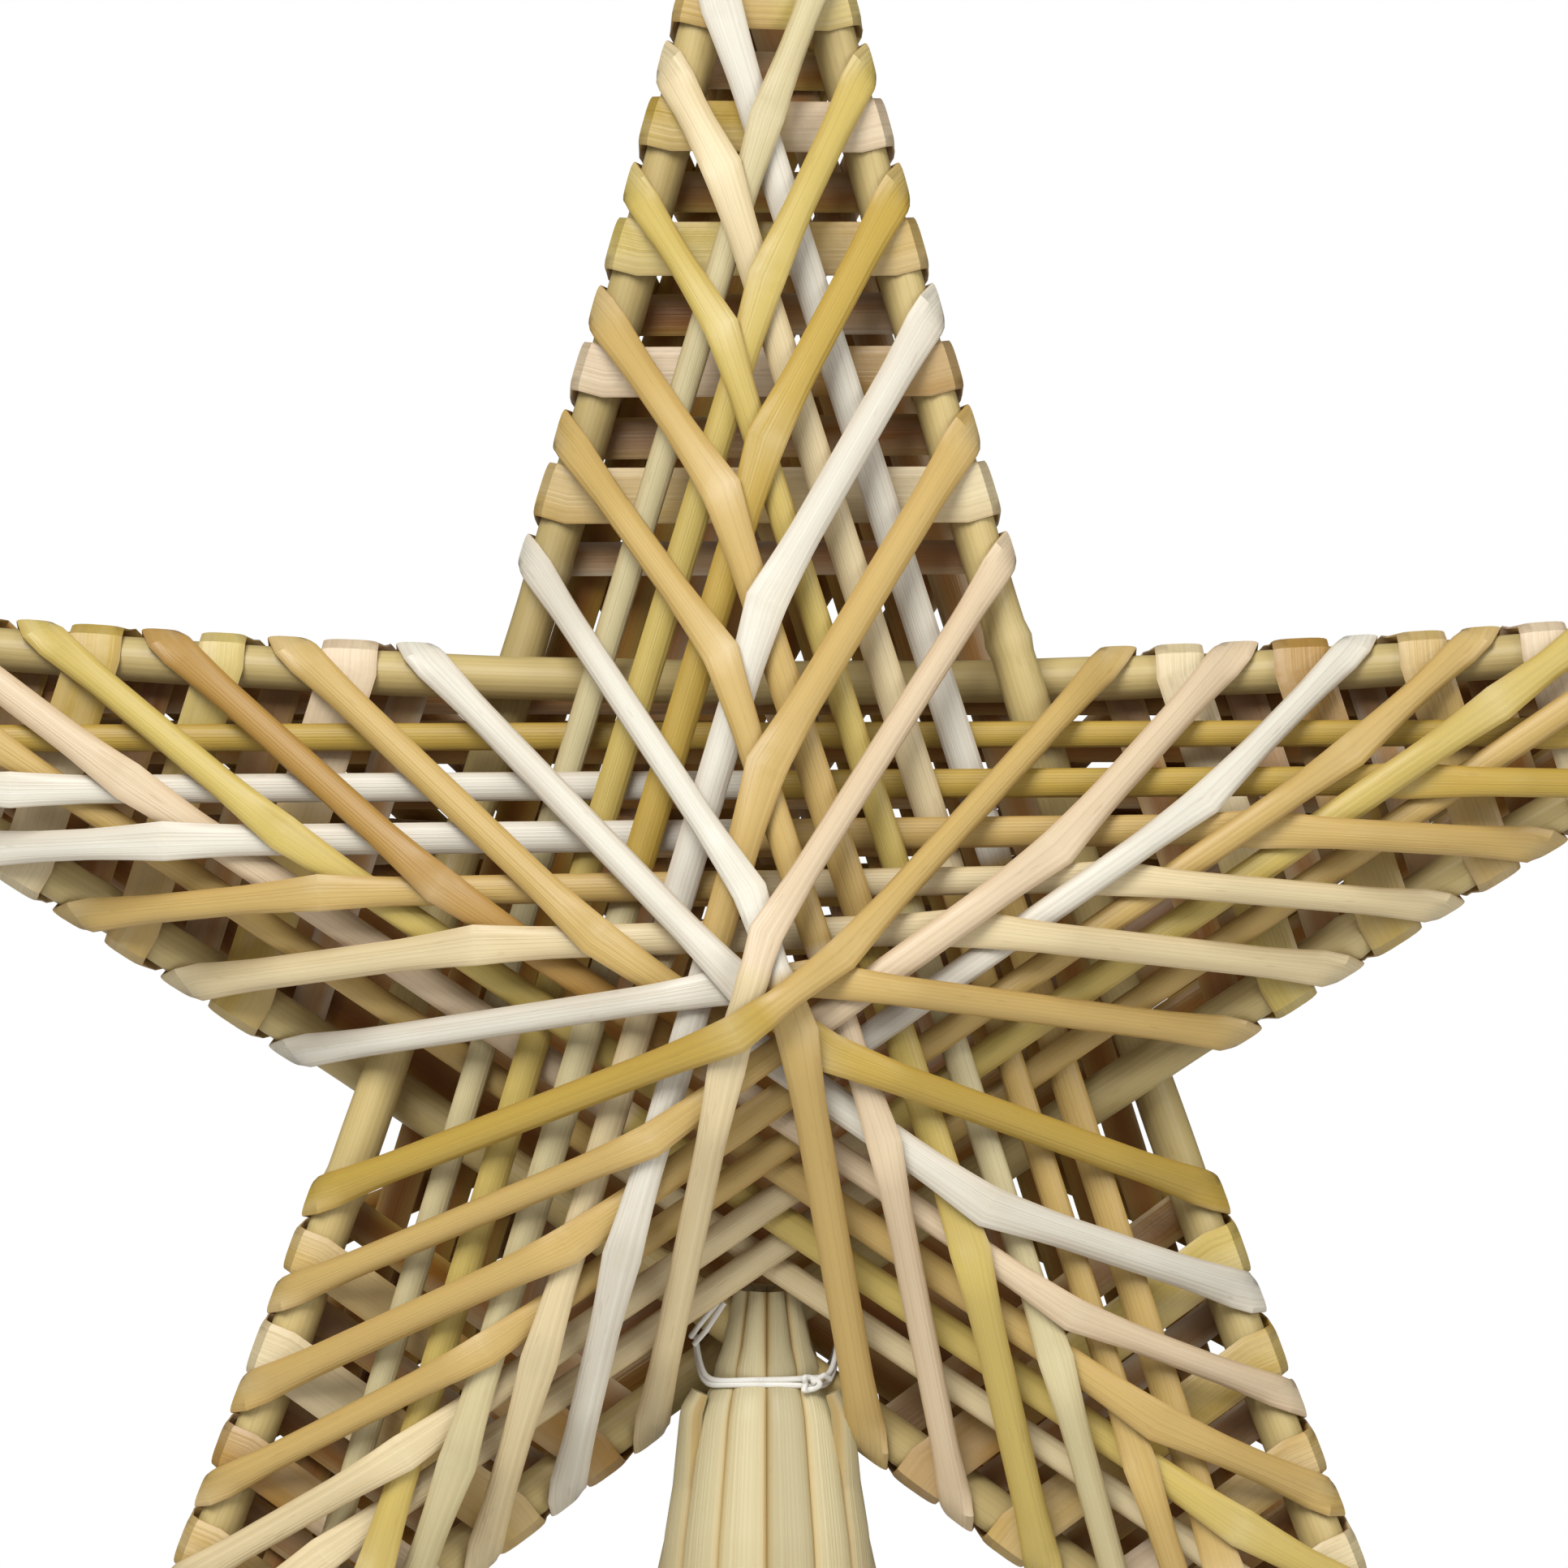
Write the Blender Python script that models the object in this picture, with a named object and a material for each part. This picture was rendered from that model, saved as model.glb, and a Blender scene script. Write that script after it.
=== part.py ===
"""Straw star that stands on a flared straw foot.

Five long sticks cross as a five-pointed star. Straw courses are wound over them, six on the front
and six on the back. Each course is one closed loop of five lengths: a length wraps an arm's edge
stick, climbs to the arm's ridge, runs to the ridge of an arm two places on, and wraps the far edge.
A bundle of straws tied at the lower notch spreads into the foot that the star stands on.

The star lies in the XZ plane and faces -Y, +Z is up, and lengths are in metres. Inside the
functions a plan point is (x, z) from the star's middle, and height is measured towards a face.
"""
import math

import bmesh
import bpy
import numpy as np

# The star's frame. An arm has its name, its direction in degrees, the length to where its sticks
# cross, how far its tip leans sideways (anticlockwise is positive), and the distance along it
# at which a straw would have to start to climb to the star's very middle.
STAR_HEIGHT = 0.130
ARMS = (
    ("top", 90.0, 0.149, 0.000, 0.0445),
    ("left", 162.0, 0.150, 0.000, 0.0490),
    ("lower_left", 234.0, 0.136, -0.005, 0.0455),
    ("lower_right", 306.0, 0.138, 0.005, 0.0455),
    ("right", 18.0, 0.146, 0.000, 0.0455),
)
# How far the middle of each edge stick is from the star's middle. Stick i runs from arm i to
# arm i + 2 and cuts across arm i + 1.
STICK_MIDDLES = (0.0412, 0.0365, 0.0340, 0.0412, 0.0374)
STICK_RADIUS = 0.0027
STICK_OVERHANG = 0.0040
STICK_SIDES = 8
STICK_STEPS = 20

# The winding straw, pressed flat, and how its courses are spaced along an arm.
STRAW_WIDTH = 0.0038
STRAW_THICKNESS = 0.0012
COURSES = 6
FIRST_STATION = 0.0500
LAST_STATION_TO_TIP = 0.0240
BACK_SHIFT = 0.5
RIDGE_GAIN = 1.32
NEAREST_KINK = 0.0030
KINK_OFFSET = 0.0055
KINK_TURN = math.radians(22.0)
WINDING_ORDER = (1, 3, 0, 2, 4)

# The foot: straws spread from the tied neck down to the rim that it stands on.
FRONT_STRAWS = 4
SIDE_STRAWS = 3
FOOT_STRAW_WIDTH = 0.0046
NECK_STRAW_WIDTH = 0.0033
FOOT_STRAW_THICKNESS = 0.0022
FOOT_STRAW_SIDES = 6
RIM_RADIUS = 0.0190
NECK_STRAW_SPACING = 0.0038
NECK_SIDE = 0.0092
NECK_SIDE_SPACING = 0.0042
NECK_ABOVE_TIE = 0.0110
SIDE_BELOW_NOTCH = 0.0175
TIE_BELOW_NOTCH = 0.0053
THREAD_RADIUS = 0.00045
THREAD_SIDES = 5
THREAD_STEPS = 32
RING_POWER = 4.0
RING_SLACK = 0.0008

# The clearance between pieces that touch, and the fineness of the map of what lies underneath.
GAP = 0.0003
MAP_CELL = 0.0005
MAP_REACH = 0.165
SAMPLE_STEP = 0.0010
FLOOR_LEVEL = -0.020
WRAP_SLACK = 0.0004
SETTLING_ROUNDS = 20
FREE_BENDS = 3
LEAST_BEND_SPACING = 0.0025
BEND_TO_WRAP = 0.0045

ARM_COUNT = len(ARMS)
STICK_WAVE = STICK_RADIUS + GAP
REST_HEIGHT = STICK_RADIUS + GAP + WRAP_SLACK + STRAW_THICKNESS / 2
WRAP_ANGLES = np.radians((45.0, 90.0, 135.0, 180.0))
WRAP_RADIUS = REST_HEIGHT / math.cos(math.radians(22.5))
NECK_DEPTH = STICK_WAVE + STICK_RADIUS + GAP + FOOT_STRAW_THICKNESS / 2
FOOT_STRAWS = 2 * (FRONT_STRAWS + SIDE_STRAWS)

# Colours by eye, as linear red, green and blue.
STICK_COLOUR = (0.56, 0.48, 0.27)
FOOT_COLOUR = (0.72, 0.62, 0.35)
THREAD_COLOUR = (0.82, 0.81, 0.78)
COURSE_COLOURS = (
    (0.66, 0.50, 0.23), (0.74, 0.62, 0.40), (0.62, 0.45, 0.20),
    (0.78, 0.70, 0.52), (0.60, 0.47, 0.17), (0.72, 0.58, 0.33),
)


def unit(vectors):
    """Vectors at length one."""
    vectors = np.asarray(vectors, dtype=float)
    return vectors / np.linalg.norm(vectors, axis=-1, keepdims=True)


def arm_axes(arm):
    """An arm's outward direction and the direction a quarter turn anticlockwise from it."""
    angle = math.radians(ARMS[arm % ARM_COUNT][1])
    along = np.array([math.cos(angle), math.sin(angle)])
    return along, np.array([-along[1], along[0]])


def arm_tip(arm):
    """Where an arm's two sticks cross."""
    along, across = arm_axes(arm)
    return along * ARMS[arm % ARM_COUNT][2] + across * ARMS[arm % ARM_COUNT][3]


def stick_plan(stick, run):
    """Plan points of a stick at run -1 (its first tip) to 1 (its second), on a shallow bow."""
    start, end = arm_tip(stick), arm_tip(stick + 2)
    middle = arm_axes(stick + 1)[0] * STICK_MIDDLES[stick % ARM_COUNT]
    run = np.asarray(run, dtype=float)[..., None]
    return middle + run * (end - start) / 2 + run ** 2 * ((start + end) / 2 - middle)


def stick_direction(stick, run):
    """A stick's plan direction at one place, from the slope of its bow."""
    step = 0.001
    return unit(stick_plan(stick, run + step) - stick_plan(stick, run - step))


def notch_runs(arm):
    """Runs of stick arm and stick arm - 1 where they cross, between this arm and the next."""
    runs = np.array([-0.21, 0.21])
    step = 0.001
    for _ in range(12):
        here, there = stick_plan(arm, runs[0]), stick_plan(arm - 1, runs[1])
        slope_here = (stick_plan(arm, runs[0] + step) - here) / step
        slope_there = (stick_plan(arm - 1, runs[1] + step) - there) / step
        runs = runs - np.linalg.solve(np.stack([slope_here, -slope_there], axis=1), here - there)
    return runs


NOTCHES = [notch_runs(arm) for arm in range(ARM_COUNT)]
LOWER_NOTCH = stick_plan(2, NOTCHES[2][0])
TIE_LEVEL = LOWER_NOTCH[1] - TIE_BELOW_NOTCH


def stick_height(stick, run):
    """Height of a stick's middle line, which passes over and under the sticks that it crosses."""
    stick = stick % ARM_COUNT
    places = np.array([-1.0, NOTCHES[stick][0], NOTCHES[(stick + 1) % ARM_COUNT][1], 1.0])
    levels = STICK_WAVE * np.array([1.0, -1.0, 1.0, -1.0])
    run = np.clip(run, -1.0, 1.0)
    index = np.clip(np.searchsorted(places, run) - 1, 0, 2)
    share = (run - places[index]) / (places[index + 1] - places[index])
    return levels[index] + (levels[index + 1] - levels[index]) * (1 - np.cos(np.pi * share)) / 2


def station(arm, side, course, shift):
    """Where a course wraps an arm's edge (side 1 is the anticlockwise one): stick and run."""
    stick = arm if side > 0 else arm - 2
    length = ARMS[arm % ARM_COUNT][2]
    pitch = (length - LAST_STATION_TO_TIP - FIRST_STATION) / (COURSES - 1)
    distance = FIRST_STATION + (course + shift) * pitch
    runs = -side * np.linspace(0.0, 1.0, 201)
    return stick, np.interp(distance, stick_plan(stick, runs) @ arm_axes(arm)[0], runs)


def kinks(arm, course, shift):
    """Plan points of the bends at an arm's ridge, of the length that leaves and that arrives."""
    along, across = arm_axes(arm)
    tip, foot = ARMS[arm % ARM_COUNT][2], ARMS[arm % ARM_COUNT][4]
    stick, run = station(arm, 1, course, shift)
    distance = stick_plan(stick, run) @ along
    ridge = min(max(RIDGE_GAIN * (distance - foot), NEAREST_KINK), tip)
    lean = across * ARMS[arm % ARM_COUNT][3] * ridge / tip
    leaving = along * (ridge + KINK_OFFSET / math.tan(KINK_TURN)) + across * KINK_OFFSET
    return leaving + lean, along * ridge + lean


def band(arm, course, shift, face):
    """The stretch across an arm's far face, from its clockwise to its anticlockwise edge."""
    ends = []
    for side in (-1, 1):
        stick, run = station(arm, side, course, shift)
        ends.append([*stick_plan(stick, run), -face * stick_height(stick, run)])
    ends = np.array(ends)
    slope = (ends[1, 2] - ends[0, 2]) / np.linalg.norm(ends[1, :2] - ends[0, :2])
    ends[:, 2] += REST_HEIGHT * math.hypot(1.0, slope)
    return ends


def wrap_points(arm, side, course, shift, face):
    """Bend points and outward normals half round an arm's edge, from this face to the other."""
    stick, run = station(arm, side, course, shift)
    direction = stick_direction(stick, run)
    outward = np.array([direction[1], -direction[0]])
    swing = np.sin(WRAP_ANGLES)[:, None]
    plan = stick_plan(stick, run) + WRAP_RADIUS * swing * outward
    heights = face * stick_height(stick, run) + WRAP_RADIUS * np.cos(WRAP_ANGLES)
    heights[-1] = -band(arm, course, shift, face)[(side + 1) // 2, 2]
    normals = np.column_stack([swing * outward, np.cos(WRAP_ANGLES)])
    return np.column_stack([plan, heights]), normals


def map_index(plan):
    """Row and column in the height map of plan points."""
    index = np.rint((plan + MAP_REACH) / MAP_CELL).astype(int)
    limit = int(round(2 * MAP_REACH / MAP_CELL))
    index = np.clip(index, 0, limit)
    return index[..., 0], index[..., 1]


def strip(plan, half_width):
    """Plan points across a path, out to half_width on both sides, and their offsets."""
    direction = unit(np.gradient(plan, axis=0))
    across = np.column_stack([-direction[:, 1], direction[:, 0]])
    count = 2 * int(math.ceil(half_width / MAP_CELL * 1.5)) + 1
    offsets = np.linspace(-half_width, half_width, count)
    return plan[:, None, :] + across[:, None, :] * offsets[None, :, None], offsets


def stamp(height_map, plan, tops, half_width, roundness=0.0):
    """Raise the map to a strip's top. A round strip falls away to its sides as a cylinder does."""
    cells, offsets = strip(plan, half_width)
    fall = roundness - np.sqrt(np.maximum(roundness ** 2 - offsets ** 2, 0.0))
    np.maximum.at(height_map, map_index(cells), tops[:, None] - fall[None, :])


def line(points, step=MAP_CELL / 2):
    """Points every step along a run of straight stretches, in any number of dimensions."""
    points = np.asarray(points, dtype=float)
    lengths = np.linalg.norm(np.diff(points[:, :2], axis=0), axis=1)
    along = np.concatenate([[0.0], np.cumsum(lengths)])
    count = max(int(along[-1] / step), 2)
    places = np.linspace(0.0, along[-1], count + 1)
    return np.column_stack([np.interp(places, along, column) for column in points.T]), places


def neck_straws():
    """Each foot straw as its spots (x, depth towards -Y) at the tie and at the rim, and its top."""
    straws = []
    for index in range(FOOT_STRAWS):
        angle = 2 * math.pi * (index + 0.5 - FRONT_STRAWS / 2) / FOOT_STRAWS
        rim = RIM_RADIUS * np.array([math.sin(angle), math.cos(angle)])
        if abs(math.cos(angle)) > math.cos(2 * math.pi * FRONT_STRAWS / 2 / FOOT_STRAWS):
            row = index if index < FRONT_STRAWS else 2 * FRONT_STRAWS + SIDE_STRAWS - 1 - index
            place = (row - (FRONT_STRAWS - 1) / 2) * NECK_STRAW_SPACING
            tie = np.array([place, math.copysign(NECK_DEPTH, rim[1])])
            top = TIE_LEVEL + NECK_ABOVE_TIE
        else:
            row = (index - FRONT_STRAWS) % (FRONT_STRAWS + SIDE_STRAWS)
            depth = ((SIDE_STRAWS - 1) / 2 - row) * NECK_SIDE_SPACING
            tie = np.array([NECK_SIDE, depth]) * math.copysign(1.0, rim[0])
            top = LOWER_NOTCH[1] - SIDE_BELOW_NOTCH
        straws.append((tie, rim, top))
    return straws


def ring_path():
    """The thread round the neck: level at front and back, and up to the notch at the sides."""
    angle = np.linspace(0.0, 2 * math.pi, THREAD_STEPS, endpoint=False)
    half_width = NECK_STRAW_SPACING * (FRONT_STRAWS - 1) / 2 + NECK_STRAW_WIDTH / 2
    reach_x = half_width + THREAD_RADIUS + GAP + 2 * RING_SLACK
    reach_y = NECK_DEPTH + FOOT_STRAW_THICKNESS / 2 + THREAD_RADIUS + GAP + RING_SLACK
    sine, cosine = np.sin(angle), np.cos(angle)
    x = reach_x * np.sign(sine) * np.abs(sine) ** (2 / RING_POWER)
    depth = reach_y * np.sign(cosine) * np.abs(cosine) ** (2 / RING_POWER)
    level = TIE_LEVEL + TIE_BELOW_NOTCH * sine ** 2
    return np.column_stack([x, level]), depth


def ground_map(face):
    """Height map of what a face's straws lie on: sticks, neck, tie and the far winding's bands."""
    size = int(round(2 * MAP_REACH / MAP_CELL)) + 1
    height_map = np.full((size, size), FLOOR_LEVEL)
    runs = np.linspace(-1.0, 1.0, 1200)
    for stick in range(ARM_COUNT):
        tops = face * stick_height(stick, runs) + STICK_RADIUS
        stamp(height_map, stick_plan(stick, runs), tops, STICK_RADIUS, STICK_RADIUS)
    for tie, rim, top in neck_straws():
        if tie[1] * face < NECK_DEPTH - GAP:
            continue
        foot = tie + (rim - tie) * TIE_BELOW_NOTCH / (TIE_LEVEL + STAR_HEIGHT)
        path, _ = line([
            [tie[0], top, NECK_DEPTH],
            [tie[0], TIE_LEVEL, NECK_DEPTH],
            [foot[0], TIE_LEVEL - TIE_BELOW_NOTCH, abs(foot[1])],
        ])
        tops = path[:, 2] + FOOT_STRAW_THICKNESS / 2
        stamp(height_map, path[:, :2], tops, NECK_STRAW_WIDTH / 2)
    plan, depth = ring_path()
    ring = np.column_stack([plan, face * depth])[face * depth > 0]
    path, _ = line(ring[np.argsort(ring[:, 0])])
    stamp(height_map, path[:, :2], path[:, 2] + THREAD_RADIUS, THREAD_RADIUS)
    for course in range(COURSES):
        for arm in range(ARM_COUNT):
            shift = BACK_SHIFT if face > 0 else 0.0
            first, last = (wrap_points(arm, side, course, shift, -face)[0][2:] for side in (-1, 1))
            path, _ = line(np.concatenate([first, last[::-1]]) * [1.0, 1.0, -1.0])
            stamp(height_map, path[:, :2], path[:, 2] + STRAW_THICKNESS / 2, STRAW_WIDTH / 2)
    return height_map


def taut(places, needed):
    """Heights of a thread pulled tight over the needed ones: their upper hull."""
    hull = []
    for point in zip(places, needed):
        while len(hull) > 1:
            (x0, y0), (x1, y1) = hull[-2:]
            if (y1 - y0) * (point[0] - x0) > (point[1] - y0) * (x1 - x0):
                break
            hull.pop()
        hull.append(point)
    hull = np.array(hull)
    return np.interp(places, hull[:, 0], hull[:, 1])


def bend_places(places, hull, fixed):
    """Places of the bends: the fixed ones, and free ones where the hull stands out the most."""
    chosen = list(fixed)
    for _ in range(FREE_BENDS):
        above = hull - np.interp(places, chosen, np.interp(chosen, places, hull))
        near = np.abs(places[:, None] - np.array(chosen)).min(axis=1) < LEAST_BEND_SPACING
        chosen = sorted([*chosen, places[np.where(near, -1.0, above).argmax()]])
    return np.array(chosen)


def lay_length(height_map, arm, course, shift, face):
    """One length from arm to arm + 3, as bend points (x, z, height), laid on the map and added."""
    start = wrap_points(arm, 1, course, shift, face)[0][0]
    end = wrap_points(arm + 3, -1, course, shift, face)[0][0]
    leaving = kinks(arm, course, shift)[0]
    arriving = kinks(arm + 3, course, shift)[1]
    turns = np.array([start[:2], leaving, arriving, end[:2]])
    fixed = np.concatenate([[0.0], np.cumsum(np.linalg.norm(np.diff(turns, axis=0), axis=1))])
    path, places = line(turns, SAMPLE_STEP / 2)
    cells, _ = strip(path, STRAW_WIDTH / 2 + GAP)
    under = height_map[map_index(cells)].max(axis=1)
    under[0], under[-1] = start[2], end[2]
    half = STRAW_THICKNESS / 2
    steepness = np.hypot(1.0, np.gradient(taut(places, under), places))
    needed = under + (GAP + half) * steepness
    by_end = np.minimum(places, places[-1] - places) < BEND_TO_WRAP / 2
    needed[by_end] = np.minimum(needed[by_end], min(start[2], end[2]))
    needed[0], needed[-1] = start[2], end[2]
    hull = taut(places, needed)
    near_ends = [BEND_TO_WRAP, places[-1] - BEND_TO_WRAP]
    bends = bend_places(places, hull, sorted([*fixed, *near_ends]))
    heights = settled(bends, np.interp(bends, places, hull), places, needed)
    level = np.interp(places, bends, heights)
    tops = level + half * np.hypot(1.0, np.gradient(level, places))
    stamp(height_map, path, tops, STRAW_WIDTH / 2)
    return np.column_stack([*(np.interp(bends, fixed, column) for column in turns.T), heights])


def settled(bends, heights, places, needed):
    """Bend heights raised until the straight stretches between them clear what is needed.

    Each round finds the worst spot of every stretch and shares its lift between the two ends, the
    nearer end taking more, as a straw does when it is pushed up from below.
    """
    segment = np.clip(np.searchsorted(bends, places, side="right") - 1, 0, len(heights) - 2)
    share = (places - bends[segment]) / np.diff(bends)[segment]
    weight = (1 - share) ** 2 + share ** 2
    pinned = heights[[0, -1]]
    for _ in range(SETTLING_ROUNDS):
        for stretch in range(len(heights) - 1):
            inside = np.flatnonzero(segment == stretch)
            if not len(inside):
                continue
            level = heights[stretch] * (1 - share[inside]) + heights[stretch + 1] * share[inside]
            short = (needed[inside] - level) / weight[inside]
            worst = inside[np.argmax(short)]
            push = max(short.max(), 0.0)
            heights[stretch] += push * (1 - share[worst])
            heights[stretch + 1] += push * share[worst]
        heights[[0, -1]] = pinned
    return heights


def course_loop(height_map, course, shift, face):
    """Bend points and normals of a whole course: five lengths, their wraps and far bands."""
    lengths = {arm: lay_length(height_map, arm, course, shift, face) for arm in WINDING_ORDER}
    points, normals = [], []
    arm = WINDING_ORDER[0]
    for _ in range(ARM_COUNT):
        length = lengths[arm]
        flat = np.tile([0.0, 0.0, 1.0], (len(length), 1))
        flat[0] = wrap_points(arm, 1, course, shift, face)[1][0]
        arm = (arm + 3) % ARM_COUNT
        flat[-1] = wrap_points(arm, -1, course, shift, face)[1][0]
        points.append(length)
        normals.append(flat)
        for side, order in ((-1, 1), (1, -1)):
            wrap, outward = wrap_points(arm, side, course, shift, face)
            points.append(wrap[1:][::order])
            normals.append(outward[1:][::order])
    points, normals = np.concatenate(points), np.concatenate(normals)
    world = np.column_stack([points[:, 0], -face * points[:, 2], points[:, 1] + STAR_HEIGHT])
    facing = np.column_stack([normals[:, 0], -face * normals[:, 2], normals[:, 1]])
    return world, facing


def framed(points, normals, closed):
    """Side and up vectors at each bend, stretched so that a mitred bend keeps its width."""
    before = unit(points - np.roll(points, 1, axis=0))
    after = unit(np.roll(points, -1, axis=0) - points)
    if not closed:
        before[0], after[-1] = after[0], before[-1]
    tangent = unit(before + after)
    side = unit(np.cross(tangent, normals))
    up = np.cross(side, tangent)
    ahead = np.sum(after * tangent, axis=1)
    stretched = []
    for vector in (side, up):
        turn = np.arctan2(np.abs(np.sum(after * vector, axis=1)), ahead)
        stretched.append(vector / np.maximum(np.cos(turn), 0.6)[:, None])
    return stretched


def polygon(sides):
    """Corners of a section, as shares of its half width and half thickness."""
    if sides == 4:
        return np.array([[-1.0, -1.0], [1.0, -1.0], [1.0, 1.0], [-1.0, 1.0]])
    angle = 2 * math.pi * (np.arange(sides) + 0.5) / sides
    return np.column_stack([np.cos(angle), np.sin(angle)])


def swept(points, side, up, half_width, half_thickness, sides, closed):
    """Vertices and faces of a section carried along bend points."""
    section = polygon(sides)
    half_width = np.broadcast_to(half_width, len(points))[:, None, None]
    half_thickness = np.broadcast_to(half_thickness, len(points))[:, None, None]
    corners = (
        points[:, None, :]
        + side[:, None, :] * section[None, :, :1] * half_width
        + up[:, None, :] * section[None, :, 1:] * half_thickness
    )
    rings = len(points)
    faces = []
    for ring in range(rings if closed else rings - 1):
        for corner in range(sides):
            here, there = ring * sides, (ring + 1) % rings * sides
            turn = (corner + 1) % sides
            faces.append((here + corner, here + turn, there + turn, there + corner))
    if not closed:
        faces.append(tuple(range(sides))[::-1])
        faces.append(tuple((rings - 1) * sides + corner for corner in range(sides)))
    return corners.reshape(-1, 3), faces


def make_material(name, colour, roughness):
    """A plain surface of one colour."""
    material = bpy.data.materials.new(name)
    material.use_nodes = True
    shader = material.node_tree.nodes["Principled BSDF"]
    shader.inputs["Base Color"].default_value = (*colour, 1.0)
    shader.inputs["Roughness"].default_value = roughness
    shader.inputs["Metallic"].default_value = 0.0
    return material


def make_object(name, vertices, faces, material, smooth_angle):
    """One closed solid as an object of its own, with its faces turned outwards."""
    mesh = bpy.data.meshes.new(name)
    mesh.from_pydata([tuple(vertex) for vertex in vertices], [], faces)
    work = bmesh.new()
    work.from_mesh(mesh)
    bmesh.ops.triangulate(work, faces=work.faces[:])
    bmesh.ops.recalc_face_normals(work, faces=work.faces[:])
    work.to_mesh(mesh)
    work.free()
    mesh.shade_smooth()
    mesh.set_sharp_from_angle(angle=smooth_angle)
    mesh.materials.append(material)
    solid = bpy.data.objects.new(name, mesh)
    bpy.context.scene.collection.objects.link(solid)
    return solid


def edge_sticks():
    """The five sticks of the star's frame."""
    solids = {}
    for stick in range(ARM_COUNT):
        length = np.linalg.norm(arm_tip(stick + 2) - arm_tip(stick))
        end = 1.0 + 2 * STICK_OVERHANG / length
        runs = np.linspace(-end, end, STICK_STEPS + 1)
        plan, height = stick_plan(stick, runs), stick_height(stick, runs)
        points = np.column_stack([plan[:, 0], -height, plan[:, 1] + STAR_HEIGHT])
        side, up = framed(points, np.tile([0.0, -1.0, 0.0], (len(points), 1)), False)
        name = f"edge_stick_{ARMS[stick][0]}_to_{ARMS[(stick + 2) % ARM_COUNT][0]}"
        solids[name] = swept(points, side, up, STICK_RADIUS, STICK_RADIUS, STICK_SIDES, False)
    return solids


def straw_courses(face):
    """The winding of one face, from the tips inwards, so that later courses lie on earlier ones."""
    shift, word = (0.0, "front") if face > 0 else (BACK_SHIFT, "back")
    height_map = ground_map(face)
    solids = {}
    for course in reversed(range(COURSES)):
        points, normals = course_loop(height_map, course, shift, face)
        side, up = framed(points, normals, True)
        half_width, half_thickness = STRAW_WIDTH / 2, STRAW_THICKNESS / 2
        body = swept(points, side, up, half_width, half_thickness, 4, True)
        solids[f"straw_course_{word}_{course + 1}"] = body
    return solids


def foot_straws():
    """The tied bundle that spreads into the foot, each straw cut level at the rim."""
    solids = {}
    for index, (tie, rim, top) in enumerate(neck_straws()):
        slope = (rim - tie) / (TIE_LEVEL + STAR_HEIGHT)
        levels = np.array([0.0, TIE_LEVEL + STAR_HEIGHT, top + STAR_HEIGHT])
        if top < TIE_LEVEL:
            levels = levels[[0, 2]]
        drop = np.maximum(TIE_LEVEL + STAR_HEIGHT - levels, 0.0)[:, None]
        spots = tie + slope * drop
        points = np.column_stack([spots[:, 0], -spots[:, 1], levels])
        outward = unit(np.where(np.abs(tie) == np.abs(tie).max(), tie, 0.0))
        turn = drop[:, 0] / (TIE_LEVEL + STAR_HEIGHT)
        facing = unit(outward + (unit(rim) - outward) * turn[:, None])
        up = np.column_stack([facing[:, 0], -facing[:, 1], np.zeros(len(facing))])
        side = np.cross(up, [0.0, 0.0, 1.0])
        half_width = (NECK_STRAW_WIDTH + (FOOT_STRAW_WIDTH - NECK_STRAW_WIDTH) * turn) / 2
        body = swept(
            points, side, up, half_width, FOOT_STRAW_THICKNESS / 2, FOOT_STRAW_SIDES, False
        )
        solids[f"foot_straw_{index + 1:02d}"] = body
    return solids


def neck_tie():
    """The thread round the neck of the bundle."""
    plan, depth = ring_path()
    points = np.column_stack([plan[:, 0], -depth, plan[:, 1] + STAR_HEIGHT])
    outward = unit(np.column_stack([points[:, 0], points[:, 1], np.zeros(len(points))]))
    side, up = framed(points, outward, True)
    return {"neck_tie": swept(points, side, up, THREAD_RADIUS, THREAD_RADIUS, THREAD_SIDES, True)}


def main():
    """Model every piece, then stand the whole on the ground over the middle of its outline."""
    for old in list(bpy.data.objects):
        bpy.data.objects.remove(old, do_unlink=True)
    groups = [
        (edge_sticks(), [STICK_COLOUR], 0.6, 60.0),
        (straw_courses(1), COURSE_COLOURS, 0.45, 40.0),
        (straw_courses(-1), COURSE_COLOURS, 0.45, 40.0),
        (foot_straws(), [FOOT_COLOUR], 0.5, 70.0),
        (neck_tie(), [THREAD_COLOUR], 0.9, 80.0),
    ]
    every = np.concatenate([body[0] for solids, *_ in groups for body in solids.values()])
    low, high = every.min(axis=0), every.max(axis=0)
    centre = np.array([(low[0] + high[0]) / 2, (low[1] + high[1]) / 2, low[2]])
    for solids, colours, roughness, smooth_angle in groups:
        for index, (name, (vertices, faces)) in enumerate(solids.items()):
            colour = colours[index % len(colours)]
            material = make_material(f"{name}_finish", colour, roughness)
            make_object(name, vertices - centre, faces, material, math.radians(smooth_angle))


main()
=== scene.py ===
# %% [markdown]
# A star wound from whole straws
#
# This notebook gives a straw star its looks. Five stiff stems cross as a five-pointed star, whole
# straws are wound over them on both faces, and a tied bundle of straws spreads into a foot. The
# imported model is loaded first: it fixes every size and place, and each finished piece here takes
# the place of one of its nodes.
#
# Straw is a hollow stalk. Where it runs free it stays fairly round, and where it turns it is
# pressed flat and creases. Most of this notebook is about that.

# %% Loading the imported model
import math

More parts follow.
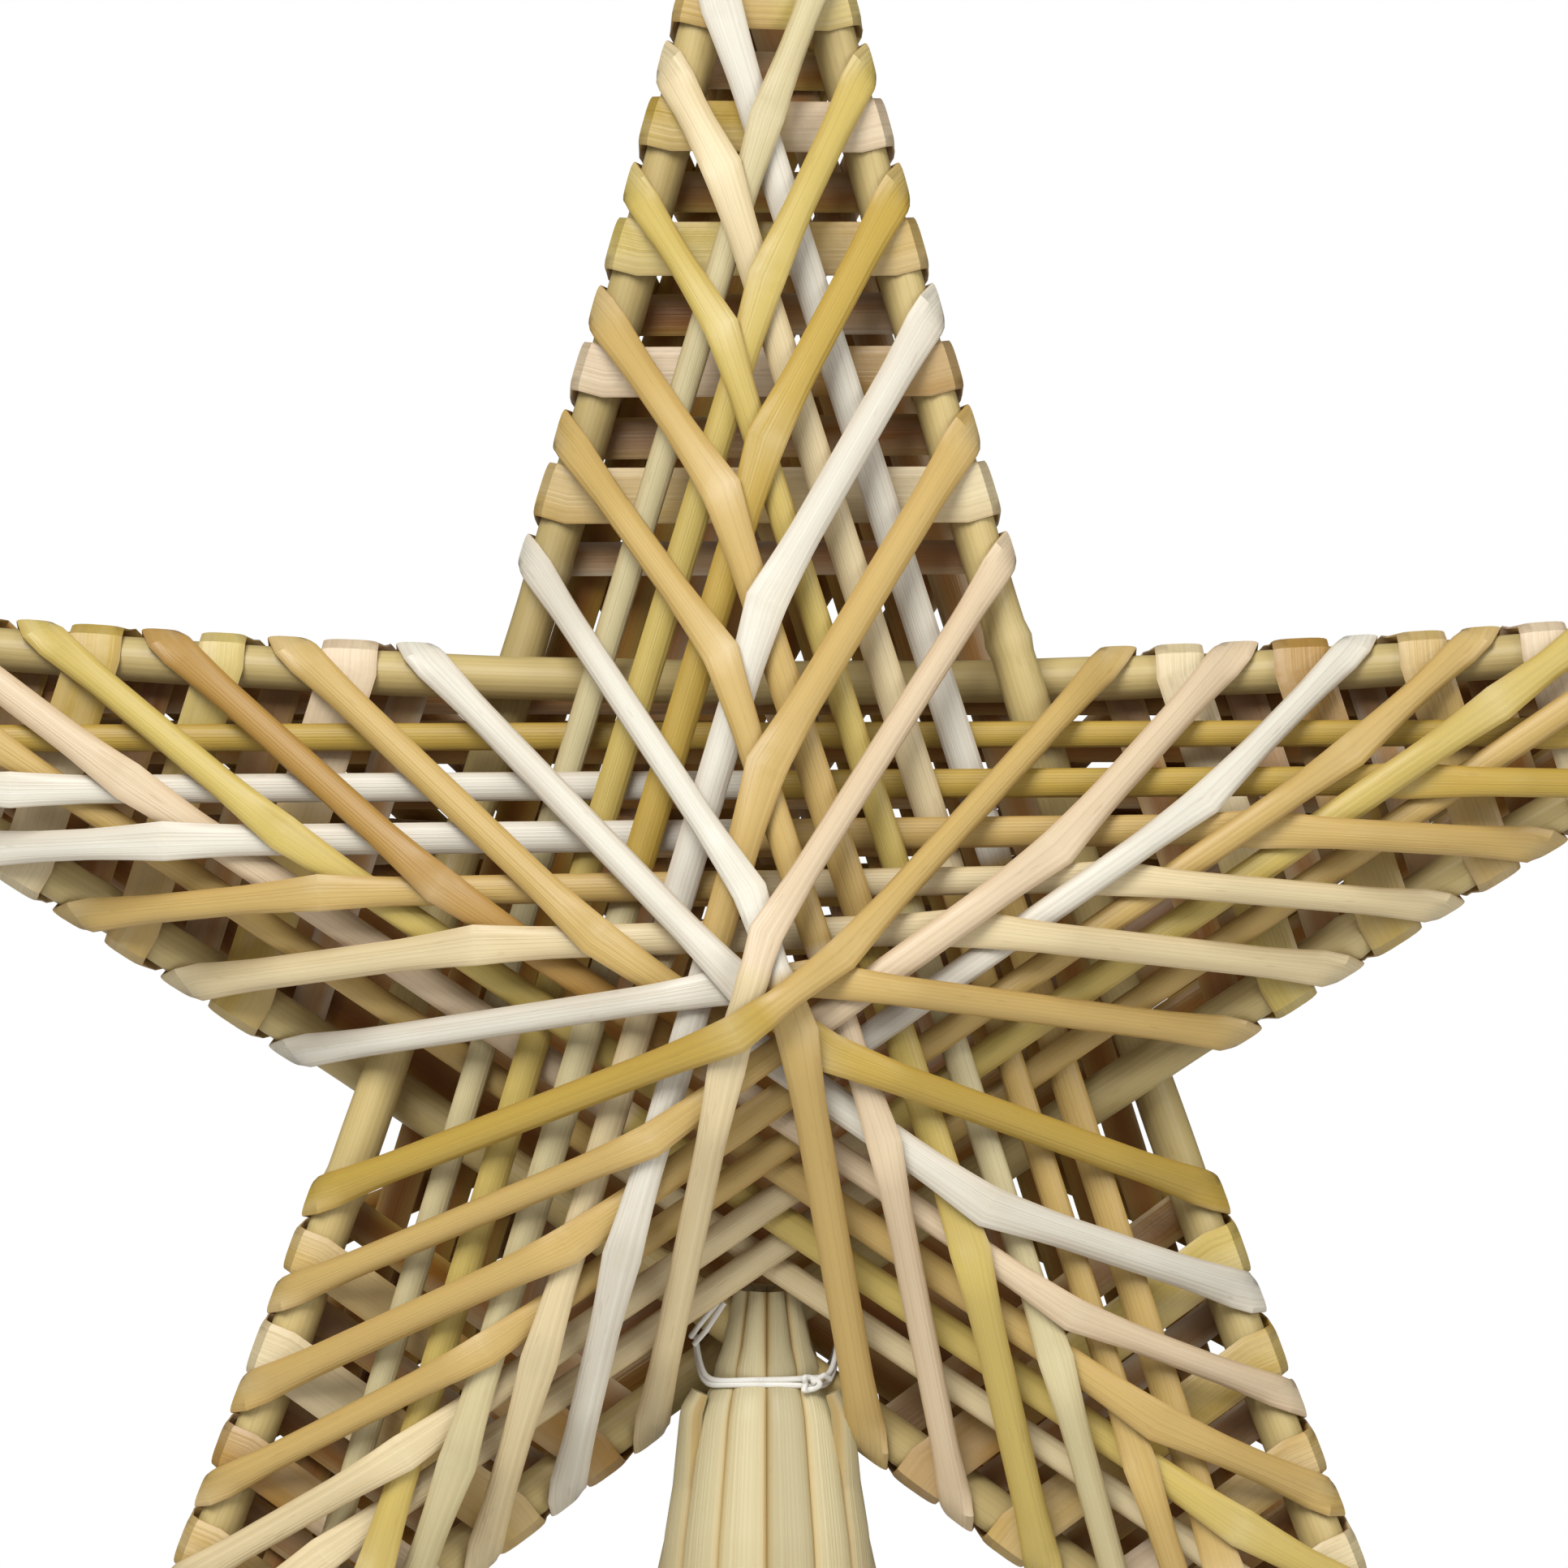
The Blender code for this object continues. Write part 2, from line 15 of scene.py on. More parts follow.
import bpy
import numpy as np
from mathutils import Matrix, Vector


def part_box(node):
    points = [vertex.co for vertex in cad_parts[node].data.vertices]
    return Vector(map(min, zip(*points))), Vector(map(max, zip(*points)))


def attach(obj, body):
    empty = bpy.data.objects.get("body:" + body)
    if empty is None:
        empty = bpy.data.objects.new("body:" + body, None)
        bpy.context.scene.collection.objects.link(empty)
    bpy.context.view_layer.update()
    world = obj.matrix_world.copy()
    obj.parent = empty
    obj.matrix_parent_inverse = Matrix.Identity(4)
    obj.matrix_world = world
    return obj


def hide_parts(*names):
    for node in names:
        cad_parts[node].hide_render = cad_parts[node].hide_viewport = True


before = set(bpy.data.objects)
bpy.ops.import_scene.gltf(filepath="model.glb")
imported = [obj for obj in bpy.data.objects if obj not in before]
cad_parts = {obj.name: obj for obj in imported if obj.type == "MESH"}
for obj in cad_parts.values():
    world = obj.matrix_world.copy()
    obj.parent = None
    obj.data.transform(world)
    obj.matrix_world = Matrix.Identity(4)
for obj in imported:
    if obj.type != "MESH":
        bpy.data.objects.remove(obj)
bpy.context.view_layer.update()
print("loaded", len(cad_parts), "nodes")

# %% [markdown]
# The star's layout
#
# A plan point is (x, z) measured from the star's middle, as one would draw the star on paper, and
# height is measured from the paper towards the viewer. Each arm has a direction and a length. The
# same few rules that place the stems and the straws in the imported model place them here, so the
# finished pieces lie where the plain ones do.

# %% Arms and stems on paper
ARM_DIRECTIONS = np.radians([90.0, 162.0, 234.0, 306.0, 18.0])
ARM_LENGTHS = np.array([0.149, 0.150, 0.136, 0.138, 0.146])
ARM_LEANS = np.array([0.000, 0.000, -0.005, 0.005, 0.000])
ARM_FEET = np.array([0.0445, 0.0490, 0.0455, 0.0455, 0.0455])
ARM_NAMES = ("top", "left", "lower_left", "lower_right", "right")
STEM_MIDDLES = np.array([0.0412, 0.0365, 0.0340, 0.0412, 0.0374])
STEM_RADIUS = 0.0027
STAR_HEIGHT = 0.130
ARMS = len(ARM_NAMES)

tie_low, tie_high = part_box("neck_tie")
STAR_MIDDLE = np.array([(tie_low.x + tie_high.x) / 2, (tie_low.y + tie_high.y) / 2, STAR_HEIGHT])


def unit(vectors):
    """Each vector divided by its own length."""
    return vectors / np.linalg.norm(vectors, axis=-1, keepdims=True)


def arm_axes(arm):
    """The arm's outward direction, and that direction turned a quarter anticlockwise."""
    angle = ARM_DIRECTIONS[arm % ARMS]
    along = np.array([math.cos(angle), math.sin(angle)])
    return along, np.array([-along[1], along[0]])


def arm_tip(arm):
    """The arm's length along it, plus its lean across it."""
    along, across = arm_axes(arm)
    return along * ARM_LENGTHS[arm % ARMS] + across * ARM_LEANS[arm % ARMS]


def stem_plan(stem, run):
    """A parabola through two tips and the stem's own middle, with run from -1 to 1."""
    start, end = arm_tip(stem), arm_tip(stem + 2)
    middle = arm_axes(stem + 1)[0] * STEM_MIDDLES[stem % ARMS]
    run = np.asarray(run, dtype=float)[..., None]
    return middle + run * (end - start) / 2 + run ** 2 * ((start + end) / 2 - middle)


def to_world(plan, height, face=1):
    """Plan x and z move to the star's middle, and height becomes depth towards -Y."""
    return np.stack([plan[..., 0], -face * height, plan[..., 1]], axis=-1) + STAR_MIDDLE


print("star middle", np.round(STAR_MIDDLE, 4))

# %% [markdown]
# Over and under
#
# Where two stems cross, one passes over the other. Along each stem the crossings alternate, so its
# height is a wave: over at the first tip, under at the first inner crossing, over at the next and
# under at the last tip. A cosine between the crossings gives the gentle bow of a real stem.

# %% Crossings and the stems' height
GAP = 0.0003


def inner_crossing(arm):
    """Newton steps on two parabolas until the two stems' plan points agree."""
    runs = np.array([-0.21, 0.21])
    for _ in range(12):
        here, there = stem_plan(arm, runs[0]), stem_plan(arm - 1, runs[1])
        slopes = [(stem_plan(arm, runs[0] + 1e-3) - here) / 1e-3]
        slopes.append((there - stem_plan(arm - 1, runs[1] + 1e-3)) / 1e-3)
        runs = runs - np.linalg.solve(np.stack(slopes, axis=1), here - there)
    return runs


CROSSINGS = np.array([inner_crossing(arm) for arm in range(ARMS)])
LOWER_NOTCH = stem_plan(2, CROSSINGS[2][0])


def stem_height(stem, run):
    """Half a cosine wave between neighbouring crossings, up and down by a radius and the gap."""
    stem = stem % ARMS
    places = np.array([-1.0, CROSSINGS[stem][0], CROSSINGS[(stem + 1) % ARMS][1], 1.0])
    levels = (STEM_RADIUS + GAP) * np.array([1.0, -1.0, 1.0, -1.0])
    run = np.clip(run, -1.0, 1.0)
    index = np.clip(np.searchsorted(places, run) - 1, 0, 2)
    share = (run - places[index]) / (places[index + 1] - places[index])
    return levels[index] + (levels[index + 1] - levels[index]) * (1 - np.cos(np.pi * share)) / 2


print("lower notch", np.round(LOWER_NOTCH, 4))

# %% [markdown]
# One tool for every stalk
#
# Stems, straws, foot straws and thread are all the same kind of surface: a closed section carried
# along a path. The path gives a point and an up direction at every ring, and each ring may have its
# own width and thickness. Three numbers are stored at every vertex: how far along the stalk it is,
# how far across, and which stalk it belongs to. The straw's fibres are drawn from these, so the
# grain follows the stalk round every bend.

# %% Carrying a section along a path
def path_frame(points, ups, closed):
    """Side and up at each ring, square to the mean of the directions before and after it."""
    before = unit(points - np.roll(points, 1, axis=0))
    after = unit(np.roll(points, -1, axis=0) - points)
    if not closed:
        before[0], after[-1] = after[0], before[-1]
    tangent = unit(before + after)
    side = unit(np.cross(tangent, ups))
    up = np.cross(side, tangent)
    turn = np.arccos(np.clip(np.abs(np.sum(after * side, axis=1)), 0.0, 1.0))
    return side / np.clip(np.sin(turn), 0.7, 1.0)[:, None], up


def stalk_grid(points, ups, half_width, half_thickness, sides, closed, square=1.0, full=1.0):
    """Ring point = path point + side * width * cos(a)^square + up * thickness * sin(a)^full."""
    side, up = path_frame(points, ups, closed)
    angle = 2 * np.pi * (np.arange(sides) + 0.5) / sides
    settings = (half_width, half_thickness, square, full)
    wide, thick, square, full = (np.broadcast_to(value, len(points))[:, None] for value in settings)
    across = np.sign(np.cos(angle)) * np.abs(np.cos(angle)) ** square
    rise = np.sign(np.sin(angle)) * np.abs(np.sin(angle)) ** full
    grid = points[:, None] + side[:, None] * (across * wide)[..., None]
    grid = grid + up[:, None] * (rise * thick)[..., None]
    return grid, across


def grid_faces(rings, sides, closed):
    """Quads between neighbouring rings, as one array, turned to face outwards."""
    ring = np.arange(rings if closed else rings - 1)[:, None]
    corner = np.arange(sides)[None, :]
    nxt, turn = (ring + 1) % rings, (corner + 1) % sides
    quads = [ring * sides + corner, nxt * sides + corner, nxt * sides + turn, ring * sides + turn]
    return np.stack(quads, axis=-1).reshape(-1, 4)


def along_path(points):
    """Distance walked along a path, in metres."""
    return np.concatenate([[0.0], np.cumsum(np.linalg.norm(np.diff(points, axis=0), axis=1))])


def make_piece(name, grids, material, nodes):
    """Joins grids of vertices with their colours and places into one mesh riding on the root."""
    vertices, faces, places, tints, creases = [], [], [], [], []
    start = 0
    for number, (grid, across, tint, crease, closed) in enumerate(grids):
        rings, sides = grid.shape[:2]
        walked = along_path(grid.mean(axis=1))
        stalk = np.full((rings, sides), float(number))
        shape = (rings, sides)
        spread = np.broadcast_to(walked[:, None], shape), np.broadcast_to(across, shape), stalk
        places.append(np.stack(spread, axis=-1).reshape(-1, 3))
        tints.append(np.broadcast_to(tint, (rings, sides, 3)).reshape(-1, 3))
        creases.append(np.broadcast_to(np.asarray(crease)[:, None], shape).reshape(-1))
        vertices.append(grid.reshape(-1, 3))
        faces.extend((grid_faces(rings, sides, closed) + start).tolist())
        if not closed:
            faces.append([start + corner for corner in range(sides)])
            last = start + (rings - 1) * sides
            faces.append([last + corner for corner in reversed(range(sides))])
        start += rings * sides
    mesh = bpy.data.meshes.new(name)
    mesh.from_pydata(np.concatenate(vertices).tolist(), [], faces)
    for label, kind, values in (
        ("stalk_place", "FLOAT_VECTOR", np.concatenate(places)),
        ("stalk_tint", "FLOAT_VECTOR", np.concatenate(tints)),
        ("stalk_crease", "FLOAT", np.concatenate(creases)),
    ):
        layer = mesh.attributes.new(label, kind, "POINT")
        layer.data.foreach_set("vector" if kind == "FLOAT_VECTOR" else "value", values.ravel())
    mesh.shade_smooth()
    mesh.set_sharp_from_angle(angle=math.radians(38))
    mesh.materials.append(material)
    piece = bpy.data.objects.new(name, mesh)
    bpy.context.scene.collection.objects.link(piece)
    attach(piece, "root")
    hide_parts(*nodes)
    return piece


print("stalk tools ready")

# %% [markdown]
# Writing shader maths as sums
#
# Blender's shader nodes are joined by hand in its editor. Here one small class wraps a node's
# output, so that `rib * 0.3 + 0.5` adds the two Math nodes by itself. Anything that isn't plain
# arithmetic comes from one method that makes a node of any type.

# %% A socket that can be added and multiplied
class Value:
    """The output of a shader node, or of the maths done on it."""

    def __init__(self, tree, socket):
        self.tree = tree
        self.socket = socket

    def node(self, kind, output=0, settings=None, **inputs):
        """A node of any type, with its settings made first and its sockets set or linked."""
        made = self.tree.nodes.new(kind)
        for key, value in (settings or {}).items():
            setattr(made, key, value)
        for key, value in inputs.items():
            label = key.replace("_", " ")
            place = int(key[1:]) if key[0] == "i" and key[1:].isdigit() else label
            if isinstance(value, Value):
                self.tree.links.new(value.socket, made.inputs[place])
            else:
                made.inputs[place].default_value = value
        return Value(self.tree, made.outputs[output])

    def maths(self, operation, *others):
        """One Math node on this value and the others."""
        values = {f"i{place}": other for place, other in enumerate((self, *others))}
        return self.node("ShaderNodeMath", 0, {"operation": operation}, **values)

    def __add__(self, other):
        return self.maths("ADD", other)

    def __mul__(self, other):
        return self.maths("MULTIPLY", other)

    def __rsub__(self, other):
        return self.node("ShaderNodeMath", 0, {"operation": "SUBTRACT"}, i0=other, i1=self)

    __radd__, __rmul__ = __add__, __mul__

    def between(self, low, high):
        """0 below low, 1 above high and smooth in between."""
        settings = {"interpolation_type": "SMOOTHSTEP"}
        names = {"From Min": low, "From Max": high}
        made = self.node("ShaderNodeMapRange", 0, settings, Value=self)
        for key, value in names.items():
            made.socket.node.inputs[key].default_value = value
        return made

    def scaled(self, factors):
        """This vector times another, part by part."""
        return self.node("ShaderNodeVectorMath", 0, {"operation": "MULTIPLY"}, i0=self, i1=factors)

    def noise(self, detail=2.0):
        """Smooth noise read at this vector."""
        return self.node("ShaderNodeTexNoise", 0, None, Vector=self, Scale=1.0, Detail=detail)

    def blend(self, other, share):
        """This colour mixed towards another by a share."""
        made = self.tree.nodes.new("ShaderNodeMix")
        made.data_type = "RGBA"
        for place, value in ((0, share), (6, self), (7, other)):
            if isinstance(value, Value):
                self.tree.links.new(value.socket, made.inputs[place])
            else:
                made.inputs[place].default_value = value
        return Value(self.tree, made.outputs[2])


def new_material(name):
    """A material with its surface shader, and a starting value for maths on its tree."""
    material = bpy.data.materials.new(name)
    material.use_nodes = True
    tree = material.node_tree
    shader = tree.nodes["Principled BSDF"]
    return material, shader, Value(tree, None)


def attribute(start, label, output=1):
    """One of the mesh's own stored values: output 1 is the vector and 2 the number."""
    return start.node("ShaderNodeAttribute", output, {"attribute_name": label})


print("shader maths ready")

# %% [markdown]
# Straw
#
# A straw is a bundle of fine fibres under a waxy skin. Its colour changes slowly along it, it has
# darker flecks, and fine ribs run its whole length, with painted shade in the grooves between them.
# The skin shines softly. Where the straw has been folded the fibres buckle, so the bump gets
# stronger there and runs across instead, and a paler painted highlight is mixed into the colour.

# %% The straw's finish
AGED_STRAW = (0.34, 0.19, 0.04, 1.0)
RIB_GROOVE_PAINTED_SHADE = (0.22, 0.12, 0.03, 1.0)
DARK_FLECK = (0.25, 0.13, 0.04, 1.0)
FOLD_PAINTED_HIGHLIGHT = (0.86, 0.78, 0.56, 1.0)


def straw_finish(name, rib_count, rib_depth, roughness):
    """Blotched tint, painted shade between ribs, painted highlight at folds; ribs and folds as
    bump.
    """
    material, shader, start = new_material(name)
    place = attribute(start, "stalk_place")
    tint = attribute(start, "stalk_tint")
    crease = attribute(start, "stalk_crease", 2)
    fibres = place.scaled((5.0, rib_count, 7.3)).noise(4.0)
    streaks = place.scaled((7.0, rib_count * 0.2, 3.1)).noise(2.0)
    blotches = place.scaled((30.0, 0.5, 5.7)).noise(3.0)
    flecks = place.scaled((220.0, 3.0, 11.0)).noise(1.0).between(0.68, 0.76)
    worn = blotches.between(0.38, 0.75) * 0.6 + streaks.between(0.40, 0.75) * 0.4
    aged = tint.blend(AGED_STRAW, worn * 0.24)
    # Painted shade: the colour darkens in the grooves between the ribs, where the bump is low.
    ribbed = aged.blend(RIB_GROOVE_PAINTED_SHADE, (1 - fibres.between(0.30, 0.62)) * 0.16)
    flecked = ribbed.blend(DARK_FLECK, flecks * 0.16)
    # Painted highlight: where the crease share is high, the colour is mixed towards a pale tone.
    lit = flecked.blend(FOLD_PAINTED_HIGHLIGHT, crease * blotches.between(0.4, 0.6) * 0.16)
    material.node_tree.links.new(lit.socket, shader.inputs["Base Color"])
    shine = fibres * 0.18 + (roughness - 0.09)
    material.node_tree.links.new(shine.socket, shader.inputs["Roughness"])
    buckles = place.scaled((500.0, 1.2, 3.0)).noise(2.0)
    relief = fibres + crease * buckles * 1.2
    bump = start.node("ShaderNodeBump", 0, None, Height=relief, Strength=0.5, Distance=rib_depth)
    material.node_tree.links.new(bump.socket, shader.inputs["Normal"])
    shader.inputs["Specular IOR Level"].default_value = 0.4
    shader.inputs["Coat Weight"].default_value = 0.06
    shader.inputs["Coat Roughness"].default_value = 0.25
    return material


WOUND_STRAW = straw_finish("wound straw", 7.0, 0.00022, 0.42)
STEM_SKIN = straw_finish("stem skin", 7.0, 0.00012, 0.48)
FOOT_STRAW = straw_finish("foot straw", 9.0, 0.00030, 0.50)

# Colours as linear red, green and blue. The last two aren't colours but painted shade: a foot straw
# loses the first share at its edges, and a wound straw keeps the second share on its inner side.
GOLD = (0.48, 0.33, 0.060)
TAN = (0.54, 0.375, 0.125)
BROWN = (0.40, 0.23, 0.055)
YELLOW = (0.55, 0.425, 0.115)
CREAM = (0.69, 0.575, 0.34)
PINK = (0.69, 0.55, 0.37)
PALE = (0.60, 0.53, 0.30)
WHITE = (0.72, 0.69, 0.59)
STEM_TINT = (0.54, 0.425, 0.18)
FOOT_TINT = (0.58, 0.51, 0.30)
SEAM_PAINTED_SHADE = (0.15, 0.32, 0.55)
INNER_SIDE_PAINTED_SHADE = (0.48, 0.23, 0.05)
print("finishes:", [material.name for material in bpy.data.materials])

# %% [markdown]
# The five stems
#
# The frame of the star is made of thick, stiff stems. Each one is round, slightly bowed, and has a
# swelling every hand's breadth where a leaf once grew. They are carried along the parabola above
# with the wave as their height.

# %% Building the stems
STEM_OVERHANG = 0.0040
STEM_RINGS = 150
STEM_SIDES = 24
JOINT_SWELLING = 0.00035


def stem_grid(stem):
    """A circle along the stem's parabola, a little thicker close to each joint of the stalk."""
    reach = 1.0 + 2 * STEM_OVERHANG / np.linalg.norm(arm_tip(stem + 2) - arm_tip(stem))
    runs = np.linspace(-reach, reach, STEM_RINGS)
    points = to_world(stem_plan(stem, runs), stem_height(stem, runs))
    joint = np.abs((runs * 1.7 + 0.37 * stem) % 1.0 - 0.5)
    swelling = JOINT_SWELLING * np.exp(-(joint / 0.012) ** 2)
    radius = STEM_RADIUS + swelling + 0.00006 * np.sin(runs * 31 + stem)
    ups = np.tile([0.0, -1.0, 0.0], (STEM_RINGS, 1))
    grid, across = stalk_grid(points, ups, radius, radius, STEM_SIDES, False)
    shade = 1.0 + 0.10 * np.sin(runs * 5 + stem * 2)
    tint = np.array(STEM_TINT) * shade[:, None, None]
    # The last value is the crease share: the bump buckles there and a paler painted highlight is
    # mixed in.
    return grid, across, tint, np.exp(-(joint / 0.02) ** 2), False


for stem in range(ARMS):
    node = f"edge_stick_{ARM_NAMES[stem]}_to_{ARM_NAMES[(stem + 2) % ARMS]}"
    make_piece(f"stem_{ARM_NAMES[stem]}", [stem_grid(stem)], STEM_SKIN, [node])
print("stems:", ARMS)

# %% [markdown]
# Where a straw wraps, and where it bends
#
# The winding goes round and round the star from the tips inwards. A length of straw wraps the
# anticlockwise edge of one arm, climbs to that arm's ridge and bends there, runs straight to the
# ridge of the arm three places on, bends again and wraps that arm's clockwise edge. It then goes
# behind the arm and starts the next length. Five lengths close one course.

# %% Wraps, bands and bends on paper
COURSES = 6
FIRST_STATION = 0.0500
LAST_STATION_TO_TIP = 0.0240
BACK_SHIFT = 0.5
RIDGE_GAIN = 1.32
NEAREST_KINK = 0.0030
KINK_OFFSET = 0.0055
FULL_KINK = 0.020
BACK_OFFSET = 0.0019
KINK_TURN = math.radians(22.0)
WINDING_ORDER = (1, 3, 0, 2, 4)
STRAW_HALF_WIDTH = 0.0020
FREE_HALF_THICKNESS = 0.00100
FLAT_HALF_THICKNESS = 0.00040
WRAP_ANGLES = np.radians([45.0, 90.0, 135.0, 180.0])
WRAP_SLACK = 0.0002
BAND_LIFT = 1.04
MOST_SLANT = 0.9
REST_HEIGHT = STEM_RADIUS + FLAT_HALF_THICKNESS + WRAP_SLACK
# The wrap's corners lie further out than the middles of its straight sides.
WRAP_RADIUS = REST_HEIGHT / math.cos(math.radians(22.5))


def station(arm, side, course, shift):
    """The stem at an arm's edge and the run on it where a course wraps, evenly spaced outwards."""
    stem = arm if side > 0 else arm - 2
    pitch = (ARM_LENGTHS[arm % ARMS] - LAST_STATION_TO_TIP - FIRST_STATION) / (COURSES - 1)
    distance = FIRST_STATION + (course + shift) * pitch
    runs = -side * np.linspace(0.0, 1.0, 201)
    return stem, np.interp(distance, stem_plan(stem, runs) @ arm_axes(arm)[0], runs)


def bends(arm, course, shift, face):
    """Where an arm's leaving and its arriving length bend.

    In front the first bends beside the ridge and the second on it. Behind, both bend a little
    beyond the ridge, so the two windings don't hide each other.
    """
    along, across = arm_axes(arm)
    tip = ARM_LENGTHS[arm % ARMS]
    stem, run = station(arm, 1, course, shift)
    distance = stem_plan(stem, run) @ along
    ridge = min(max(RIDGE_GAIN * (distance - ARM_FEET[arm % ARMS]), NEAREST_KINK), tip)
    share = min(ridge / FULL_KINK, 1.0)
    middle = along * ridge + across * ARM_LEANS[arm % ARMS] * ridge / tip
    if face < 0:
        return middle - across * BACK_OFFSET * share, middle + across * BACK_OFFSET * share
    return middle + (along / math.tan(KINK_TURN) + across) * KINK_OFFSET * share, middle


def wrap(arm, side, course, shift, face):
    """Points round the stem from 45 to 180 degrees, moving on along it at the straw's own slant."""
    stem, run = station(arm, side, course, shift)
    slope = (stem_plan(stem, run + 1e-3) - stem_plan(stem, run - 1e-3)) / 2e-3
    direction = unit(slope)
    outward = np.array([direction[1], -direction[0]])
    arrives = unit(stem_plan(stem, run) - bends(arm, course, shift, face)[0 if side > 0 else 1])
    slant = np.clip(arrives @ direction / max(arrives @ outward, 0.3), -MOST_SLANT, MOST_SLANT)
    swing = np.sin(WRAP_ANGLES)
    before_edge = WRAP_ANGLES < math.radians(80.0)
    advance = WRAP_RADIUS * slant * np.where(before_edge, swing, 1.0)
    plan = stem_plan(stem, run) + WRAP_RADIUS * swing[:, None] * outward
    plan = plan + advance[:, None] * direction
    level = face * stem_height(stem, run + advance / np.linalg.norm(slope))
    radii = np.append(np.full(3, WRAP_RADIUS), REST_HEIGHT * BAND_LIFT)
    heights = level + radii * np.cos(WRAP_ANGLES)
    ups = np.column_stack([swing[:, None] * outward, np.cos(WRAP_ANGLES)])
    return np.column_stack([plan, heights]), ups


print("front stations on the top arm, mm:", [
    round(float(stem_plan(*station(0, 1, course, 0.0))[1] * 1000)) for course in range(COURSES)
])

# %% [markdown]
# Laying straws on straws
#
# Each straw lies on whatever is already there. A height map, like a landscape seen from above,
# holds the top of everything laid so far. A new straw reads the map under itself, is pulled tight
# over the high spots like a string over hills, and is then added to the map. The tight string is
# the upper hull of the heights it must clear.

# %% The landscape under the straws
CELL = 0.0005
REACH = 0.165
FLOOR_LEVEL = -0.020
NECK_FRONT = 0.0085
NECK_HALF_WIDTH = 0.0075
CELLS = int(round(2 * REACH / CELL))


def cell_index(plan):
    """Row and column of plan points in the landscape."""
    index = np.clip(np.rint((plan + REACH) / CELL).astype(int), 0, CELLS)
    return index[..., 0], index[..., 1]


def strip(plan, half_width):
    """Points across a path: path point + across direction * offset."""
    direction = unit(np.gradient(plan, axis=0))
    across = np.column_stack([-direction[:, 1], direction[:, 0]])
    offsets = np.linspace(-half_width, half_width, 2 * int(math.ceil(half_width / CELL * 1.5)) + 1)
    return plan[:, None] + across[:, None] * offsets[None, :, None], offsets


def raise_ground(ground, plan, tops, half_width, roundness=0.0):
    """The landscape becomes the larger of itself and the strip's top, rounded if asked."""
    cells, offsets = strip(plan, half_width)
    fall = roundness - np.sqrt(np.maximum(roundness ** 2 - offsets ** 2, 0.0))
    np.maximum.at(ground, cell_index(cells), tops[:, None] - fall[None, :])


def walk(points, step):
    """Even steps along a run of straight stretches, in any number of dimensions."""
    points = np.asarray(points, dtype=float)
    lengths = np.linalg.norm(np.diff(points[:, :2], axis=0), axis=1)
    along = np.concatenate([[0.0], np.cumsum(lengths)])
    places = np.linspace(0.0, along[-1], max(int(along[-1] / step), 2) + 1)
    return np.column_stack([np.interp(places, along, column) for column in points.T]), places


def pulled_tight(places, heights):
    """The upper hull: drop every point that lies under the line between its neighbours."""
    hull = []
    for point in zip(places, heights):
        while len(hull) > 1:
            (x0, y0), (x1, y1) = hull[-2:]
            if (y1 - y0) * (point[0] - x0) > (point[1] - y0) * (x1 - x0):
                break
            hull.pop()
        hull.append(point)
    hull = np.array(hull)
    return np.interp(places, hull[:, 0], hull[:, 1])


def bare_ground(face):
    """The landscape of the stems and of the other winding's bands, before a straw is laid."""
    ground = np.full((CELLS + 1, CELLS + 1), FLOOR_LEVEL)
    runs = np.linspace(-1.0, 1.0, 1200)
    for stem in range(ARMS):
        tops = face * stem_height(stem, runs) + STEM_RADIUS
        raise_ground(ground, stem_plan(stem, runs), tops, STEM_RADIUS, STEM_RADIUS)
    neck_tops = np.full(40, NECK_FRONT)
    for place in np.linspace(-NECK_HALF_WIDTH, NECK_HALF_WIDTH, 5):
        level = np.linspace(LOWER_NOTCH[1] - 0.012, LOWER_NOTCH[1] + 0.006, 40)
        raise_ground(ground, np.column_stack([np.full(40, place), level]), neck_tops, 0.002)
    for course in range(COURSES):
        for arm in range(ARMS):
            shift = BACK_SHIFT if face > 0 else 0.0
            first, last = (wrap(arm, side, course, shift, -face)[0][2:] for side in (-1, 1))
            path, _ = walk(np.concatenate([first, last[::-1]]) * [1.0, 1.0, -1.0], CELL / 2)
            tops = path[:, 2] + FLAT_HALF_THICKNESS
            raise_ground(ground, path[:, :2], tops, STRAW_HALF_WIDTH)
    return ground


print("landscape:", CELLS + 1, "cells a side")

# %% [markdown]
# Winding a course
#
# A laid length is a path with a height at every step. Between two lengths the straw goes round a
# stem, behind the arm and round the other stem. The whole loop is one path, so no straw ends in the
# open. In a free run the stalk is rounder and a little narrower. At a bend or a wrap it is pressed
# flat and wide.

# %% Laying one length and closing the loop
STEP = 0.0018
LAID_HALF_WIDTH = STRAW_HALF_WIDTH * 0.9
CLEARANCE = 0.00005
END_ZONE = 0.0022
FREE_HALF_WIDTH = 0.00188
FLAT_EXTRA_WIDTH = 0.00050
BACK_WIDTH = 1.35
WIDTH_RANGE = (0.88, 1.10)
SECTION_SIDES = 16
# Pressed flat, the section turns from an ellipse into a rounded rectangle.
FLAT_SQUARE = 0.38
FLAT_FULL = 0.15


def pressed_flat(steps, spots, reach=0.010):
    """1 at a bend and 0 a reach away from it: (1 - distance / reach)^1.4."""
    away = np.abs(steps[:, None] - np.asarray(spots)).min(axis=1)
    return np.clip(1 - away / reach, 0.0, 1.0) ** 1.4


def half_thickness(flat):
    """Thick where the straw is round and thin where it is pressed flat."""
    return FREE_HALF_THICKNESS + (FLAT_HALF_THICKNESS - FREE_HALF_THICKNESS) * flat


